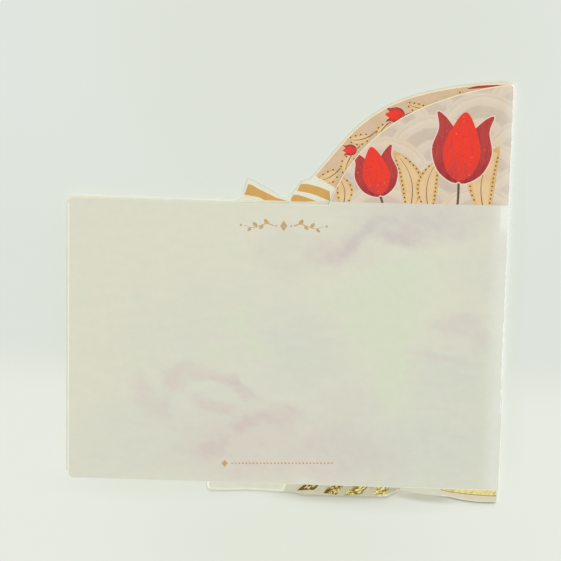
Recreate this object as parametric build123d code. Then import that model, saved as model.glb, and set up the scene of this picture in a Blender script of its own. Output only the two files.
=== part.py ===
"""Greeting card: one die-cut sheet of board, printed and folded once, lying on its rear panel.

The frame has +X towards the fold, +Y towards the card's top edge and +Z up. Outlines are drawn
with x = 0 on the outermost line of the fold and y = 0 on the message panel's bottom edge, and the
finished sheet is then moved so that the origin is at the centre of its base.
"""

from build123d import *
import math
import os

# Board and fold, in mm and degrees
board = 0.4
crease_inner_radius = 0.25
shoulder_inner_radius = 4.0
shoulder_angle = 22.0
opening_angle = 1.5

# Message panel, on top, with the low dome above it
message_width = 148.0
message_height = 100.0
message_corner_radius = 1.3
message_dome_rise = 43.4
message_dome_reach = 60.7
message_haunch = (-30.3, 34.6)
message_crown_middle = (-15.5, 40.2)

# Rear panel, on the table, with the dome, the bow and the foot that stand out past the message
rear_width = 149.1
rear_height = 99.3
rear_corner_radius = 1.5
rear_dome_rise = 44.1
rear_crown_end = (-33.0, 38.8)
rear_haunch_end = (-55.9, 22.8)
rear_flank_end = (-67.1, 8.6)

# Two loops of the bow, each corner as (x, rise above the rear panel's edge, fillet radius)
bow_loop_corners = [
    (-69.7, 8.0, 1.2),
    (-74.6, 1.2, 3.0),
    (-87.9, 8.2, 0.4),
    (-90.6, 0.0, 4.0),
]

# Foot: the tab and the plate rim that reach below the message panel
foot_depth = 4.6
rim_low = (-8.0, -4.78)
rim_waist = (-16.5, -3.45)
rim_rise = (-25.3, -2.95)
rim_end = (-34.2, -1.8)

# The tab's lower edge, each corner as (x, y, fillet radius)
tab_corners = [
    (-100.3, -4.45, 1.1),
    (-93.5, -4.3, 2.0),
    (-86.5, -3.85, 2.0),
    (-71.5, -4.0, 1.0),
    (-66.5, -4.8, 1.0),
    (-38.6, -4.5, 0.5),
]

# How far the blanks reach past the outlines that trim them
trim_allowance = 2.0

crease_outer_radius = crease_inner_radius + board
shoulder_outer_radius = shoulder_inner_radius + board
crease_x = -crease_outer_radius
crease_z = crease_outer_radius


def above(base, point):
    """A point given as (x, rise), set on the edge at height base."""
    return (point[0], base + point[1])


def message_outline():
    """The message panel flat: a rectangle with rounded free corners, under a two-arc dome."""
    left = -message_width
    top = message_height
    haunch = above(top, message_haunch)
    crown = ThreePointArc((0, top + message_dome_rise), above(top, message_crown_middle), haunch)
    flank = TangentArc(crown @ 1, (-message_dome_reach, top), tangent=crown % 1)
    rest = FilletPolyline(
        flank @ 1,
        (left, top),
        (left, 0),
        (trim_allowance, 0),
        radius=[message_corner_radius, message_corner_radius],
    )
    closing = Polyline(rest @ 1, (trim_allowance, top + message_dome_rise), crown @ 0)
    return make_face([crown, flank, rest, closing])


def rear_outline():
    """The rear panel flat: dome, bow loops and rectangle, down to the tab and the plate rim."""
    left = -rear_width
    top = rear_height
    crown = TangentArc((0, top + rear_dome_rise), above(top, rear_crown_end), tangent=(-1, 0))
    haunch = TangentArc(crown @ 1, above(top, rear_haunch_end), tangent=crown % 1)
    flank = TangentArc(haunch @ 1, above(top, rear_flank_end), tangent=haunch % 1)
    edge_points = [flank @ 1]
    edge_radii = []
    for x, rise, radius in bow_loop_corners:
        edge_points.append((x, top + rise))
        edge_radii.append(radius)
    edge_points += [(left, top), (left, 0), (tab_corners[0][0], 0)]
    edge_radii += [rear_corner_radius, rear_corner_radius]
    edge = FilletPolyline(*edge_points, radius=edge_radii)
    tab_points = [edge @ 1] + [(x, y) for x, y, radius in tab_corners] + [rim_end]
    tab = FilletPolyline(*tab_points, radius=[radius for x, y, radius in tab_corners])
    rim = ThreePointArc((0, -foot_depth), rim_low, rim_waist)
    plate = ThreePointArc(rim_waist, rim_rise, rim_end)
    closing = Polyline(
        rim @ 0,
        (trim_allowance, -foot_depth),
        (trim_allowance, top + rear_dome_rise),
        crown @ 0,
    )
    return make_face([crown, haunch, flank, edge, tab, plate, rim, closing])


def ring_sector(centre, inner_radius, outer_radius, start, end):
    """A bent stretch of the board in the X-Z plane, between two angles counted from +X to +Z."""
    inner = CenterArc(centre, inner_radius, start, end - start)
    outer = CenterArc(centre, outer_radius, start, end - start)
    return make_face([inner, outer, Line(inner @ 0, outer @ 0), Line(inner @ 1, outer @ 1)])


def strip(corner, along, outward, length):
    """A straight stretch of the board in the X-Z plane, drawn from its inner corner at a bend."""
    far = corner + along * length
    return make_face(Polyline(corner, far, far + outward * board, corner + outward * board, close=True))


def fold_section():
    """The board's section across the fold: rear strip, crease, shoulder and message strip."""
    message_angle = 90 - opening_angle
    crease_end = message_angle - shoulder_angle
    axis = Vector(crease_x, crease_z)
    toward_crease_end = Vector(math.cos(math.radians(crease_end)), math.sin(math.radians(crease_end)))
    shoulder_axis = axis - toward_crease_end * (shoulder_inner_radius - crease_inner_radius)
    outward = Vector(math.cos(math.radians(message_angle)), math.sin(math.radians(message_angle)))
    along = Vector(-outward.Y, outward.X)
    crease = ring_sector(axis, crease_inner_radius, crease_outer_radius, -90, crease_end)
    shoulder = ring_sector(
        shoulder_axis, shoulder_inner_radius, shoulder_outer_radius, crease_end, message_angle
    )
    rear = strip(
        Vector(crease_x, board), Vector(-1, 0), Vector(0, -1), rear_width + trim_allowance
    )
    message = strip(
        shoulder_axis + outward * shoulder_inner_radius,
        along,
        outward,
        message_width + trim_allowance,
    )
    return rear + crease + shoulder + message


def folded_blank():
    """The fold's section drawn out along Y, taller than both outlines."""
    reach = rear_height + rear_dome_rise + foot_depth + 2 * trim_allowance
    start = -foot_depth - trim_allowance
    section_plane = Plane(origin=(0, start, 0), x_dir=(1, 0, 0), z_dir=(0, -1, 0))
    return extrude(section_plane * fold_section(), -reach)


def card_sheet():
    """The folded blank, trimmed below the crease line by one outline and above it by the other."""
    blank = folded_blank()
    below = extrude(Plane.XY.offset(-trim_allowance) * rear_outline(), crease_z + trim_allowance)
    tilt = math.radians(opening_angle)
    message_plane = Plane(
        origin=(0, 0, crease_z),
        x_dir=(math.cos(tilt), 0, -math.sin(tilt)),
        z_dir=(math.sin(tilt), 0, math.cos(tilt)),
    )
    upper_blank = split(blank, bisect_by=Plane.XY.offset(crease_z), keep=Keep.TOP)
    reach = shoulder_outer_radius + trim_allowance
    message_trim = extrude(message_plane * message_outline(), reach, both=True)
    rear_panel = blank & below
    message_panel = upper_blank & message_trim
    return rear_panel + message_panel


def main():
    sheet = card_sheet()
    box = sheet.bounding_box()
    base_centre = Vector(box.center().X, box.center().Y, box.min.Z)
    sheet = Pos(-base_centre) * sheet
    os.makedirs("parts", exist_ok=True)
    export_step(sheet, "parts/folded_card.step")
    placed = sheet.bounding_box()
    print("solids", len(sheet.solids()), "volume mm3", round(sheet.volume, 1))
    print("box", placed.min, placed.max)


main()
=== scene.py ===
"""Folded greeting card: one printed, die-cut sheet of board, folded once, lying on its rear panel.

The sheet is made as a printer makes it: the outline and the print are laid out flat, cut into one
mesh and then bent along the fold. Tables and comments are in millimetres, with x = 0 on the fold's
outermost line, x negative across both panels, and y = 0 on the message panel's bottom edge.
"""

import math
import random

import bpy
from bpy.props import FloatProperty, FloatVectorProperty, PointerProperty
from mathutils import Matrix, Vector, noise
from mathutils.geometry import delaunay_2d_cdt


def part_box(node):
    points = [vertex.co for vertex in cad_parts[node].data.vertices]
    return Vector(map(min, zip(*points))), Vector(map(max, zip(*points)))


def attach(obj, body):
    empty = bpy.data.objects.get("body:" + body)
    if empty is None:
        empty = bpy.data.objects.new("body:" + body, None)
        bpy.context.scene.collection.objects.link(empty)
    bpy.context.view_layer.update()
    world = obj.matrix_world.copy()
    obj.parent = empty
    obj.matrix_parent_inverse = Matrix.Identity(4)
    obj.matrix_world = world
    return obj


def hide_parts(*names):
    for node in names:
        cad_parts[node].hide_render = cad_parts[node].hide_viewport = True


bl_info = {
    "name": "Folded greeting card",
    "version": (1, 0, 0),
    "blender": (4, 5, 0),
    "location": "3D View > Sidebar > Card",
    "description": "Prints, cuts and folds a greeting card around its packed frame",
    "category": "Object",
}

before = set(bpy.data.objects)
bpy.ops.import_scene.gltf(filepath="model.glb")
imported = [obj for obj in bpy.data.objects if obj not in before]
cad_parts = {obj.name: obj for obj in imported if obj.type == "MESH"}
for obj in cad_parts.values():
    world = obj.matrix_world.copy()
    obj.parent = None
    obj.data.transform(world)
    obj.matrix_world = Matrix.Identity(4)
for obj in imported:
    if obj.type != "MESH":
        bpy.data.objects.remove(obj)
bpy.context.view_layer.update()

MM = 0.001
BODY = "root"
NODE = "folded_card"

# The sheet's size, as the solid has it
MESSAGE_SIZE = (148.0, 100.0)
MESSAGE_CORNER = 1.3
MESSAGE_DOME = ((0.0, 143.4), (-15.5, 140.2), (-30.3, 134.6), (-60.7, 100.0))
REAR_SIZE = (149.1, 99.3)
REAR_CORNER = 1.5
REAR_DOME = ((0.0, 143.4), (-33.0, 138.1), (-55.9, 122.1), (-67.1, 107.9))
BOW_CORNERS = ((-69.7, 107.3, 1.2), (-74.6, 100.5, 3.0), (-87.9, 107.5, 0.4), (-90.6, 99.3, 4.0))
RIM = ((0.0, -4.6), (-8.0, -4.78), (-16.5, -3.45), (-25.3, -2.95), (-34.2, -1.8))
TAB_CORNERS = ((-100.3, -4.45, 1.1), (-93.5, -4.3, 2.0), (-86.5, -3.85, 2.0), (-71.5, -4.0, 1.0))
TAB_CORNERS += ((-66.5, -4.8, 1.0), (-38.6, -4.5, 0.5))
# The radius where the tab leaves the bottom edge
TAB_ROOT = 0.4

# The fold's two bends, in the X-Z plane
CREASE_RADIUS = 0.25
SHOULDER_RADIUS = 4.0
SHOULDER_TURN = math.radians(22)
OPENING = math.radians(1.5)
CREASE_STEPS = 14
SHOULDER_STEPS = 8
# Two heights, one below the whole sheet and one above it
SHEET_SPAN = (-8.0, 146.0)

# One unit of the flat places that the inks read
FLAT_UNIT = 100


def srgb(red, green, blue):
    """A colour given in display values from 0 to 255, as the shaders take it."""
    linear = []
    for value in (red, green, blue):
        value /= 255
        linear.append(value / 12.92 if value <= 0.04045 else ((value + 0.055) / 1.055) ** 2.4)
    return (*linear, 1.0)


def length_property(name, description, length):
    return FloatProperty(
        name=name,
        description=description,
        default=length * MM,
        unit="LENGTH",
        precision=5,
    )


def colour_property(name, description, shade):
    return FloatVectorProperty(
        name=name,
        description=description,
        subtype="COLOR",
        size=4,
        min=0.0,
        max=1.0,
        default=srgb(*shade),
    )


class CardSizes(bpy.types.PropertyGroup):
    board: length_property("Board", "Thickness of the board", 0.4)
    crush: length_property("Crushed edge", "How far the die rounds the board's two edges", 0.06)
    margin: length_property("Pale margin", "Bare board beside a cut through the print", 0.3)
    top_margin: length_property("Top margin", "Pale border along the message panel's top edge", 0.3)
    ring_margin: length_property("Dome margin", "Unprinted border along the rear dome", 0.55)
    foil: length_property("Foil", "Height of the foil over the board", 0.02)


class CardColours(bpy.types.PropertyGroup):
    board: colour_property("Board", "Bare, unprinted board", (228, 229, 207))
    cut: colour_property("Cut edge", "Core of the board at a cut or cracked fold", (248, 249, 240))
    # The rear panel's cut edge at its foot, darkened as painted shadow
    rear_cut: colour_property("Rear cut edge", "Shaded cut edge of the rear panel", (196, 194, 164))
    # The roll beside the fold: print lightened as painted highlight
    roll: colour_property("Rolled fold", "Print on the roll beside the fold", (234, 237, 231))
    tint: colour_property("Message tint", "Ground colour of the message panel", (220, 219, 199))
    mauve: colour_property("Mauve cloud", "Marbling on the message panel", (205, 197, 190))
    rosy: colour_property("Rosy cloud", "Marbling at the message panel's left", (209, 196, 187))
    green: colour_property("Green cloud", "Second marbling on the message panel", (213, 220, 194))
    cool: colour_property("Grey cloud", "Third marbling on the message panel", (208, 211, 196))
    cream: colour_property("Cream wave", "Light bands of the waves", (223, 208, 186))
    wave: colour_property("Mauve wave", "Dark bands of the waves", (200, 183, 164))
    peach: colour_property("Peach wave", "Warm patches of the waves", (227, 203, 170))
    red: colour_property("Red petal", "Lit petals", (243, 58, 38))
    crimson: colour_property("Crimson petal", "Shaded petals", (186, 66, 62))
    leaf: colour_property("Tan leaf", "Leaves", (232, 200, 152))
    leaf_edge: colour_property("Leaf edge", "Border of the leaves", (226, 186, 118))
    line: colour_property("Brown line", "Drawn lines and dots", (78, 58, 34))
    gold: colour_property("Gold ink", "Stripes of the bow", (212, 164, 84))
    heading: colour_property("Heading ink", "Ornament and rule on the panel", (196, 166, 116))
    foil: colour_property("Foil", "Hot-stamped foil", (232, 218, 148))
    # The foil's dark patches: painted dark reflections on its facets and creases
    foil_dark_reflection: colour_property("Dull foil", "Creased and worn foil", (136, 118, 58))
    # The floor's three tones are painted light and shade: darker about the card, lightest before it
    floor: colour_property("Floor", "Studio floor", (227, 232, 226))
    floor_middle: colour_property("Middle floor", "Studio floor beside the card", (224, 229, 221))
    floor_near: colour_property("Near floor", "Studio floor before the card", (234, 237, 228))


def chosen():
    return bpy.context.scene.card_sizes, bpy.context.scene.card_colours


# Curves


def arc(centre, radius, start, sweep, steps):
    return [
        (
            centre[0] + radius * math.cos(start + sweep * i / steps),
            centre[1] + radius * math.sin(start + sweep * i / steps),
        )
        for i in range(steps + 1)
    ]


def tangent_arc(start, heading, end, steps):
    """Points of the arc that leaves start along heading for end, and its last heading."""
    heading = Vector(heading).normalized()
    side = Vector((-heading.y, heading.x))
    chord = Vector(end) - Vector(start)
    radius = chord.length_squared / (2 * chord.dot(side))
    centre = Vector(start) + side * radius
    first = math.atan2(start[1] - centre.y, start[0] - centre.x)
    last = math.atan2(end[1] - centre.y, end[0] - centre.x)
    sweep = last - first
    turn = math.copysign(2 * math.pi, radius)
    while sweep * turn < 0:
        sweep += turn
    points = arc(centre, abs(radius), first, sweep, steps)
    leave = math.atan2(heading.y, heading.x) + sweep
    return points, (math.cos(leave), math.sin(leave))


def three_point_arc(start, middle, end, steps):
    """Points of the arc through three points, and its last heading."""
    a, b, c = Vector(start), Vector(middle), Vector(end)
    ab, ac = b - a, c - a
    turn = 2 * (ab.x * ac.y - ab.y * ac.x)
    centre = a + Vector(
        (
            (ac.y * ab.length_squared - ab.y * ac.length_squared) / turn,
            (ab.x * ac.length_squared - ac.x * ab.length_squared) / turn,
        )
    )
    spoke = a - centre
    heading = Vector((-spoke.y, spoke.x)) * math.copysign(1, turn)
    return tangent_arc(start, heading, end, steps)


def rounded(points, radii):
    """An open run of straight edges, with each inner corner rounded by its radius."""
    run = [tuple(points[0])]
    for i, radius in enumerate(radii, start=1):
        corner = Vector(points[i])
        back = (Vector(points[i - 1]) - corner).normalized()
        ahead = (Vector(points[i + 1]) - corner).normalized()
        half = back.angle(ahead) / 2
        reach = radius / math.tan(half)
        start = corner + back * reach
        end = corner + ahead * reach
        bend, _ = tangent_arc(start, -back, end, 5)
        run += bend
    return run + [tuple(points[-1])]


def anticlockwise(points):
    area = sum(a[0] * b[1] - b[0] * a[1] for a, b in zip(points, points[1:] + points[:1]))
    return points if area > 0 else points[::-1]


def inset(points, distance):
    """A closed outline, counted anticlockwise, drawn in by distance."""
    moved = []
    for before, here, after in zip(points[-1:] + points[:-1], points, points[1:] + points[:1]):
        back = (Vector(here) - Vector(before)).normalized()
        ahead = (Vector(after) - Vector(here)).normalized()
        normal = Vector((-back.y - ahead.y, back.x + ahead.x)) / (1 + back.dot(ahead) + 1e-9)
        if normal.length > 3:
            normal = normal.normalized() * 3
        moved.append(tuple(Vector(here) + normal * distance))
    return moved


def message_outline():
    """The message panel's edge, from the fold's top round to the fold's bottom."""
    width, height = MESSAGE_SIZE
    start, middle, haunch, foot = MESSAGE_DOME
    crown, heading = three_point_arc(start, middle, haunch, 24)
    flank, _ = tangent_arc(haunch, heading, foot, 20)
    corners = [foot, (-width, height), (-width, 0), (0, 0)]
    return crown[:-1] + flank[:-1] + rounded(corners, [MESSAGE_CORNER] * 2)


def rear_dome():
    """The rear panel's dome, from the fold's top down to the bow."""
    heading = (-1, 0)
    path = []
    for start, end, steps in zip(REAR_DOME, REAR_DOME[1:], (14, 20, 12)):
        run, heading = tangent_arc(start, heading, end, steps)
        path += run[:-1]
    return path + [REAR_DOME[-1]]


def rear_outline():
    """The rear panel's edge, from the fold's top round to the foot at the fold."""
    width, height = REAR_SIZE
    corners = [REAR_DOME[-1]] + [c[:2] for c in BOW_CORNERS]
    corners += [(-width, height), (-width, 0), (TAB_CORNERS[0][0], 0)]
    corners += [c[:2] for c in TAB_CORNERS] + [RIM[-1]]
    radii = [c[2] for c in BOW_CORNERS] + [REAR_CORNER] * 2
    radii += [TAB_ROOT] + [c[2] for c in TAB_CORNERS]
    edge = rear_dome()[:-1] + rounded(corners, radii)[:-1]
    rim, _ = three_point_arc(*RIM[:3], 12)
    plate, _ = three_point_arc(*RIM[2:], 10)
    return edge + plate[::-1] + rim[-2::-1]


# The fold


class Fold:
    """Maps the flat sheet, s across it and 0 at the fold's outermost line, to the folded card."""

    def __init__(self, board):
        self.board = board
        self.crease = CREASE_RADIUS + board / 2
        self.shoulder = SHOULDER_RADIUS + board / 2
        self.crease_turn = math.pi / 2 - OPENING - SHOULDER_TURN
        self.crease_run = self.crease * self.crease_turn
        self.message_run = self.crease_run + self.shoulder * SHOULDER_TURN
        self.rear_run = self.crease * math.pi / 2
        self.rear_across = CREASE_RADIUS + board
        self.message_across = 0.0
        x, z = self.place(-self.message_run, 0)
        self.message_across = (z - self.rear_across) * math.sin(OPENING) - x * math.cos(OPENING)

    def place(self, s, offset):
        """(x, z) of the sheet at s, at offset from its middle towards the outside of the fold."""
        axis = Vector((-self.rear_across, self.rear_across))
        if s > self.rear_run:
            return axis.x - (s - self.rear_run), self.board / 2 - offset
        if s > -self.crease_run:
            angle = -s / self.crease
            reach = self.crease + offset
            return axis.x + reach * math.cos(angle), axis.y + reach * math.sin(angle)
        turned = Vector((math.cos(self.crease_turn), math.sin(self.crease_turn)))
        axis -= turned * (self.shoulder - self.crease)
        bent = min(-s, self.message_run) - self.crease_run
        angle = self.crease_turn + bent / self.shoulder
        outward = Vector((math.cos(angle), math.sin(angle)))
        place = axis + outward * (self.shoulder + offset)
        flat = max(-s - self.message_run, 0)
        place += Vector((-outward.y, outward.x)) * flat
        return place.x, place.y

    def to_sheet(self, x, side):
        """Where a panel's x falls on the flat sheet."""
        if side == "message":
            across, run = self.message_across, self.message_run
            return x * run / across if x > -across else x + across - run
        across, run = self.rear_across, self.rear_run
        return -x * run / across if x > -across else -x - across + run

    def to_panel(self, s):
        """The x within its own panel of a place on the flat sheet."""
        if s < 0:
            across, run = self.message_across, self.message_run
            return s * across / run if s > -run else s + run - across
        across, run = self.rear_across, self.rear_run
        return -s * across / run if s < run else run - across - s

    def lines(self):
        """Where the sheet gets an edge across it, so that the fold turns in small steps."""
        crease = self.rear_run + self.crease_run
        bend = self.message_run - self.crease_run
        places = [self.rear_run + 1.2, self.rear_run + 0.35]
        places += [self.rear_run - crease * i / CREASE_STEPS for i in range(CREASE_STEPS + 1)]
        for i in range(1, SHOULDER_STEPS + 1):
            places.append(-self.crease_run - bend * i / SHOULDER_STEPS)
        places += [-self.message_run - 0.4, -self.message_run - 1.4]
        low, high = SHEET_SPAN
        return [((s, low), (s, high)) for s in places]


# The print


class Shape:
    """One closed shape of the print, in its panel's x and y, and the frame that its ink reads."""

    def __init__(self, points, ink, side="message", within=(), origin=(0, 0), turn=0, size=10):
        self.points = points
        self.ink = ink
        self.side = side
        self.within = within
        self.origin = origin
        self.turn = turn
        self.size = size

    def local(self, x, y):
        dx, dy = x - self.origin[0], y - self.origin[1]
        c, s = math.cos(self.turn), math.sin(self.turn)
        return (dx * c + dy * s) / self.size, (dy * c - dx * s) / self.size


def disc(centre, radius, steps):
    return arc(centre, radius, 0, 2 * math.pi, steps)[:-1]


def spline(points, steps=6, closed=False):
    """A smooth curve through its points, as a run of short edges."""
    count = len(points)
    spans = count if closed else count - 1
    run = []
    for i in range(spans):
        if closed:
            a, b, c, d = (Vector(points[(i + k - 1) % count]) for k in range(4))
        else:
            a, b, c, d = (Vector(points[min(max(i + k - 1, 0), count - 1)]) for k in range(4))
        for k in range(steps):
            t = k / steps
            bend = (a * 2 - b * 5 + c * 4 - d) * t**2
            place = (b * 2 + (c - a) * t + bend + (b * 3 - a - c * 3 + d) * t**3) / 2
            run.append(tuple(place))
    if not closed:
        run.append(tuple(points[-1]))
    return run


def ribbon(line, widths):
    """A closed shape along a line, with a width at each point, and 0 at a pointed end."""
    left, right = [], []
    for i, (here, width) in enumerate(zip(line, widths)):
        before, after = Vector(line[max(i - 1, 0)]), Vector(line[min(i + 1, len(line) - 1)])
        along = (after - before).normalized()
        normal = Vector((-along.y, along.x)) * width / 2
        if width < 1e-6:
            left.append(tuple(here))
            continue
        left.append(tuple(Vector(here) + normal))
        right.append(tuple(Vector(here) - normal))
    return left + right[::-1]


def placed(points, origin, turn):
    """Points drawn along +Y from (0, 0), turned and set down at origin."""
    c, s = math.cos(turn), math.sin(turn)
    return [(origin[0] + (x * c - y * s), origin[1] + (x * s + y * c)) for x, y in points]


def leaf(base, turn, length, width, side, within, bend):
    """A pointed leaf with a lighter border, a drawn midrib and a row of dots inside its edge."""

    def spine(t):
        return bend * length * math.sin(math.pi * t), length * t

    def half(t, scale):
        return scale * width / 2 * math.sin(math.pi * t**0.85) ** 0.8

    def outline(first, last, scale):
        run = []
        for i in range(17):
            t = first + (last - first) * i / 16
            x, y = spine(t)
            run.append((x, y, half(t, scale)))
        left = [(x - w, y) for x, y, w in run]
        right = [(x + w, y) for x, y, w in run if w > 1e-3][::-1]
        return left + right

    marks = dict(side=side, within=within, origin=base, turn=turn, size=length)
    shapes = [
        Shape(placed(outline(0, 1, 1), base, turn), "leaf_edge", **marks),
        Shape(placed(outline(0.09, 0.9, 0.62), base, turn), "leaf", **marks),
    ]
    rib = [spine(i / 12 * 0.86) for i in range(13)]
    rib_widths = [0.34 * (1 - 0.7 * i / 12) for i in range(13)]
    shapes.append(Shape(placed(ribbon(rib, rib_widths), base, turn), "line", **marks))
    count = max(int(length / 1.9), 4)
    for i in range(count):
        t = 0.17 + 0.66 * i / (count - 1)
        x, y = spine(t)
        for hand in (-1, 1):
            spot = placed([(x + hand * half(t, 0.8), y)], base, turn)[0]
            shapes.append(Shape(disc(spot, 0.3, 8), "line", **marks))
    return shapes


def tulip(base, turn, length, width, side, within):
    """A flower: two shaded petals behind a lit one, with a notch between their tips."""
    back = [(0, 0), (0.34, 0.1), (0.5, 0.42), (0.42, 0.74), (0.47, 0.97), (0.27, 0.86), (0.08, 0.6)]
    front = [
        (0.0, 0.01),
        (0.21, 0.12),
        (0.31, 0.4),
        (0.22, 0.72),
        (0.0, 1.0),
        (-0.22, 0.72),
        (-0.31, 0.4),
        (-0.21, 0.12),
    ]
    marks = dict(side=side, within=within, origin=base, turn=turn, size=length)
    shapes, petals = [], []
    for hand in (-1, 1):
        points = [(hand * x * width, y * length) for x, y in back]
        points = anticlockwise(placed(spline(points, 5, True), base, turn))
        shapes.append(Shape(inset(points, -0.02 * width), "gap", **marks))
        petals.append(Shape(points, "crimson", **marks))
    shapes += petals
    points = [(x * width, y * length) for x, y in front]
    shapes.append(Shape(placed(spline(points, 5, True), base, turn), "red", **marks))
    return shapes


def waves(low, high, left, right, radius, within):
    """Overlapping rows of round waves, from the farthest row to the nearest."""
    shapes = []
    rows = int((high - low) / (radius / 2)) + 2
    for row in range(rows, -1, -1):
        y = low - radius * 0.55 + row * radius / 2
        x = right + (radius if row % 2 else 0)
        while x > left - radius:
            points = disc((x, y), radius, 44)
            shapes.append(Shape(points, "wave", within=within, origin=(x, y), size=radius))
            x -= 2 * radius
    return shapes


# The line between the dome's print and the message panel's ground, from its left end to the fold
DOME_LINE = ((-66.0, 101.1), (4.0, 101.65))
# Where the message dome's cut edge ends on the flat sheet, and the height at which the bare strip
# below the ring begins
DOME_END = -61.6
BARE_STRIP = 97.0
# How far from the fold's outermost line the print has cracked off, and how near to it the bare
# board counts as torn
WORN = 0.6
TORN = 2 * WORN


def worn_fold(points, seed):
    """A panel's printed area, whose side at the fold is left ragged where the board cracked."""
    ragged = random.Random(seed)
    low = min(y for x, y in points if x > -WORN - 1)
    high = max(y for x, y in points if x > -WORN - 1)
    kept = [(x, y) for x, y in points if x < -WORN - 0.2]
    edge = []
    y = low + 0.1
    while y < high - 0.3:
        edge.append((-WORN + ragged.uniform(-0.13, 0.13), y))
        y += ragged.uniform(0.4, 1.5)
    return kept + edge


def heading_shapes(within):
    """A plain printer's ornament: a lozenge between two leafy vines."""
    centre = Vector((-75.5, 92.3))
    slope = math.radians(0.6)
    shapes = []

    def add(points):
        spots = placed(points, centre, slope)
        shapes.append(Shape(spots, "heading", within=within, origin=centre, size=10.0))

    add([(0, -1.9), (1.25, 0), (0, 1.9), (-1.25, 0)])
    for hand in (-1, 1):
        add(disc((hand * 2.5, 0), 0.36, 10))
        vine = ((3.4, 0), (5.6, 0.75), (8.0, -0.1), (10.6, -0.8), (13.4, 0))
        vine = spline([(hand * x, y) for x, y in vine])
        last = len(vine) - 1
        add(ribbon(vine, [0.42 * (1 - 0.62 * i / last) for i in range(last + 1)]))
        for x, y, turn, length in (
            (5.1, 0.6, -38, 2.2),
            (7.0, 0.35, -142, 2.0),
            (8.9, -0.4, -40, 2.1),
            (11.0, -0.75, -135, 1.7),
        ):
            blade = [(0, 0), (0.36, 0.35), (0.3, 0.72), (0, 1), (-0.2, 0.66), (-0.22, 0.3)]
            blade = [(u * length, v * length) for u, v in spline(blade, 4, True)]
            blade = placed(blade, (x, y), math.radians(turn))
            add([(hand * u, v) for u, v in blade])
        add(disc((hand * 14.4, 0.05), 0.42, 10))
    return shapes


def rule_shapes(within):
    """A fine dotted rule low on the message panel, with a small lozenge at its left end."""
    start = Vector((-94.0, 6.9))
    slope = math.radians(1.95)
    spots = [placed([(-1.1, 0), (0, 1.3), (1.1, 0), (0, -1.3)], start, slope)]
    spots += [disc(placed([(2.6 + 1.22 * i, 0)], start, slope)[0], 0.36, 8) for i in range(29)]
    return [Shape(s, "heading", within=within, origin=start) for s in spots]


def dome_shapes(within):
    """The dome's print: rows of round waves, and tulips that rise between dotted leaves."""
    low = DOME_LINE[0][1]
    shapes = [Shape([(-66, low), (2, low), (2, 146), (-66, 146)], "wave", within=within, size=12)]
    shapes += waves(low, 143, -62, -10, 16.0, within)
    side = "message"
    for base, turn, length, width, bend in (
        ((-56.0, 99.0), 14, 13, 6.0, 0.16),
        ((-33.5, 98.5), 16, 22, 8.0, 0.15),
        ((-27.0, 98.5), -8, 19, 7.5, -0.12),
        ((-8.5, 98.5), -10, 24, 9.5, -0.14),
    ):
        shapes += leaf(base, math.radians(turn), length, width, side, within, bend)
    for base, turn, length, width in (
        ((-43.5, 104.0), 12, 17.0, 14.5),
        ((-17.5, 109.5), -4, 24.0, 20.0),
    ):
        turn = math.radians(turn)
        tail = placed([(0.6, -12)], base, turn)[0]
        stem = spline([tail, placed([(0.4, -5)], base, turn)[0], base], 5)
        shapes.append(Shape(ribbon(stem, [0.8] * len(stem)), "line", within=within, origin=base))
        shapes += tulip(base, turn, length, width, side, within)
    return shapes


# Places along the garland, counted from the fold: distance, lean in degrees, length, width
GARLAND_LEAVES = (
    (14.0, -30, 6.5, 3.0),
    (22.5, 34, 6.5, 3.2),
    (31.0, -30, 7.0, 3.4),
    (46.5, 30, 7.0, 3.6),
    (54.5, -32, 8.0, 4.2),
    (64.0, 24, 8.5, 4.8),
    (71.5, -24, 8.5, 5.0),
)
GARLAND_BUDS = ((9.0, 24, 6.0, 5.0), (39.5, -26, 6.4, 5.4), (62.0, -46, 4.6, 4.0))


def ring_shapes(within):
    """The print that shows round the message panel's dome: a garland on a warm ground."""
    path = rear_dome()
    ground = [(-70, 90), (2, 90), (2, 146), (-70, 146)]
    # The rear dome's margin in the edge ink: cream, warmed further as a painted reflection of the
    # ring's print
    shapes = [Shape(ground, "edge", "rear", ("ring_edge",))]
    shapes.append(Shape(ground, "ring", "rear", within, origin=(-40, 120), size=60))
    walk, gone, line = 0.0, [], []
    for here, after in zip(path, path[1:]):
        step = Vector(after) - Vector(here)
        normal = Vector((-step.y, step.x)).normalized()
        line.append(tuple(Vector(here) + normal * 5.2))
        gone.append((walk, step.normalized()))
        walk += step.length
    shapes.append(Shape(ribbon(line, [0.3] * len(line)), "line", "rear", within))

    def spot_at(place):
        i = max(k for k, (reach, _) in enumerate(gone) if reach <= place)
        along = gone[i][1]
        return Vector(line[i]) + along * (place - gone[i][0]), along

    tip = spline([(-4.5, 142.5), (-8.5, 142.25), (-12.0, 141.75), (-16.0, 140.9)], 5)
    widths = [1.1 * math.sin(math.pi * i / (len(tip) - 1)) for i in range(len(tip))]
    shapes.append(Shape(ribbon(tip, widths), "crimson", "rear", within, origin=(-10, 140), size=6))
    for place, lean, length, width in GARLAND_LEAVES:
        spot, along = spot_at(place)
        way = math.atan2(along.y, along.x) - math.pi / 2
        turn = way + math.radians(lean)
        shapes += leaf(tuple(spot), turn, length, width, "rear", within, math.copysign(0.1, lean))
    for place, lean, length, width in GARLAND_BUDS:
        spot, along = spot_at(place)
        way = math.atan2(along.y, along.x) - math.pi / 2
        shapes += tulip(tuple(spot), way + math.radians(lean), length, width, "rear", within)
    return shapes
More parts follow.
